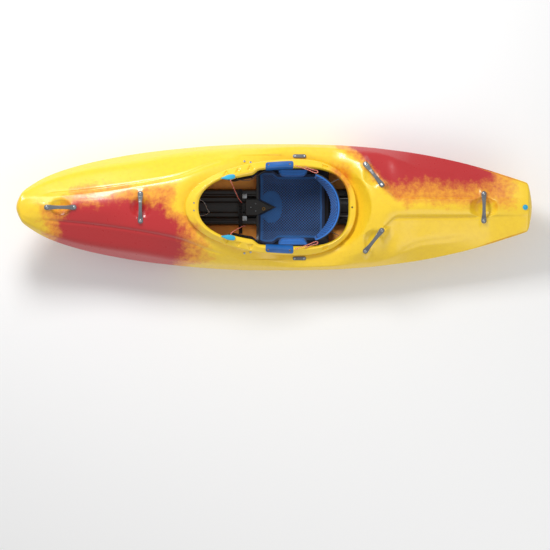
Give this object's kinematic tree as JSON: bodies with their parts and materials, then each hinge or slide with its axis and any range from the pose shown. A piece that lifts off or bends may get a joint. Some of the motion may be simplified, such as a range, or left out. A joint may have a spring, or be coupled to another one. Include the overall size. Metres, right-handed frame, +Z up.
{
  "type": "whitewater kayak",
  "caption": "Decked plastic river kayak with a shell hull, raised cockpit rim, sliding seat, tilting backband, footrest, thigh braces and grab handles.",
  "frame": {"origin": "on the ground under the boat's middle, halfway along its length, on its centre plane", "axes": "+X towards the stern, +Y to starboard, +Z up"},
  "size_m": [2.74, 0.6758, 0.4602],
  "materials": {
    "hull_plastic": "rotomoulded polyethylene, yellow running into red, satin with fine scratches",
    "outfitting_plastic": "black moulded plastic, dull",
    "blue_plastic": "bright blue moulded plastic, satin",
    "toggle_plastic": "light blue moulded plastic, satin",
    "handle_plastic": "dark grey rubbery plastic over webbing",
    "bolt_steel": "stainless bolts and plates, lightly worn",
    "seat_fabric": "blue foam pad with a grid of small dark dots",
    "band_fabric": "bright blue embossed neoprene",
    "foam": "dark closed-cell foam",
    "red_cord": "red cord with a cream fleck",
    "dark_cord": "black braided cord and webbing",
    "white_cord": "white braided cord"
  },
  "bodies": {
    "boat": {"hull_shell": "hull_plastic", "centre_tray": "outfitting_plastic", "front_pillar": "foam", "rear_pillar": "foam", "footrest_rail_starboard": "outfitting_plastic", "footrest_rail_port": "outfitting_plastic", "rail_bolt_front_starboard": "bolt_steel", "rail_bolt_rear_starboard": "bolt_steel", "rail_bolt_front_port": "bolt_steel", "rail_bolt_rear_port": "bolt_steel", "hip_support_starboard": "outfitting_plastic", "hip_support_port": "outfitting_plastic", "hip_plate_starboard": "bolt_steel", "hip_plate_port": "bolt_steel", "thigh_plate_starboard": "blue_plastic", "thigh_plate_port": "blue_plastic", "thigh_brace_starboard": "outfitting_plastic", "thigh_brace_port": "outfitting_plastic", "thigh_bolt_front_starboard": "bolt_steel", "thigh_bolt_rear_starboard": "bolt_steel", "thigh_bolt_front_port": "bolt_steel", "thigh_bolt_rear_port": "bolt_steel", "grab_handle_bow": "handle_plastic", "grab_handle_front_deck": "handle_plastic", "grab_handle_rear_starboard": "handle_plastic", "grab_handle_rear_port": "handle_plastic", "grab_handle_stern": "handle_plastic", "handle_bolt_bow_fore": "bolt_steel", "handle_bolt_bow_aft": "bolt_steel", "handle_bolt_front_deck_fore": "bolt_steel", "handle_bolt_front_deck_aft": "bolt_steel", "handle_bolt_rear_starboard_fore": "bolt_steel", "handle_bolt_rear_starboard_aft": "bolt_steel", "handle_bolt_rear_port_fore": "bolt_steel", "handle_bolt_rear_port_aft": "bolt_steel", "handle_bolt_stern_fore": "bolt_steel", "handle_bolt_stern_aft": "bolt_steel", "backband_bracket": "outfitting_plastic", "backband_hinge_pin": "bolt_steel", "pull_cord_starboard": "red_cord", "pull_cord_port": "red_cord", "backband_cord_starboard": "red_cord", "backband_cord_port": "red_cord", "bungee_starboard": "dark_cord", "bungee_port": "dark_cord", "footrest_cord": "white_cord", "adjuster_line": "dark_cord", "tray_strap": "dark_cord"},
    "seat": {"seat_base": "outfitting_plastic", "seat_pad": "seat_fabric", "hip_pad_starboard": "band_fabric", "hip_pad_port": "band_fabric"},
    "backband": {"backband_shell": "outfitting_plastic", "backband_pad": "band_fabric"},
    "footrest": {"footrest_plate": "outfitting_plastic", "footrest_pad": "foam"},
    "plug": {"drain_plug": "toggle_plastic"},
    "toggle_stbd": {"toggle_starboard": "toggle_plastic"},
    "toggle_prt": {"toggle_port": "toggle_plastic"}
  },
  "joints": [
    {"name": "seat_slide", "type": "slide", "parent": "boat", "child": "seat", "axis": [1, 0, 0], "range_m": [-0.012, 0.012]},
    {"name": "backband_tilt", "type": "hinge", "parent": "boat", "child": "backband", "pos_m": [0.322, 0, 0.15], "axis": [0, -1, 0], "range_deg": [0, 10], "deforming": ["backband_cord_starboard", "backband_cord_port", "bungee_starboard", "bungee_port"]},
    {"name": "footrest_slide", "type": "slide", "parent": "boat", "child": "footrest", "axis": [1, 0, 0], "range_m": [-0.02, 0.12]},
    {"name": "drain_plug_pull", "type": "slide", "parent": "boat", "child": "plug", "axis": [0, 0, 1], "range_m": [0, 0.03]},
    {"name": "toggle_pull_starboard", "type": "slide", "parent": "boat", "child": "toggle_stbd", "axis": [-0.8826, -0.1396, 0.449], "range_m": [0, 0.021], "deforming": ["pull_cord_starboard", "adjuster_line"]},
    {"name": "toggle_pull_port", "type": "slide", "parent": "boat", "child": "toggle_prt", "axis": [-0.8826, 0.1396, 0.449], "range_m": [0, 0.021], "deforming": ["pull_cord_port"]}
  ],
  "couplings": [
    {"joint": "toggle_pull_starboard", "follows": "backband_tilt", "m_per_rad": 0.12},
    {"joint": "toggle_pull_port", "follows": "backband_tilt", "m_per_rad": 0.12}
  ]
}
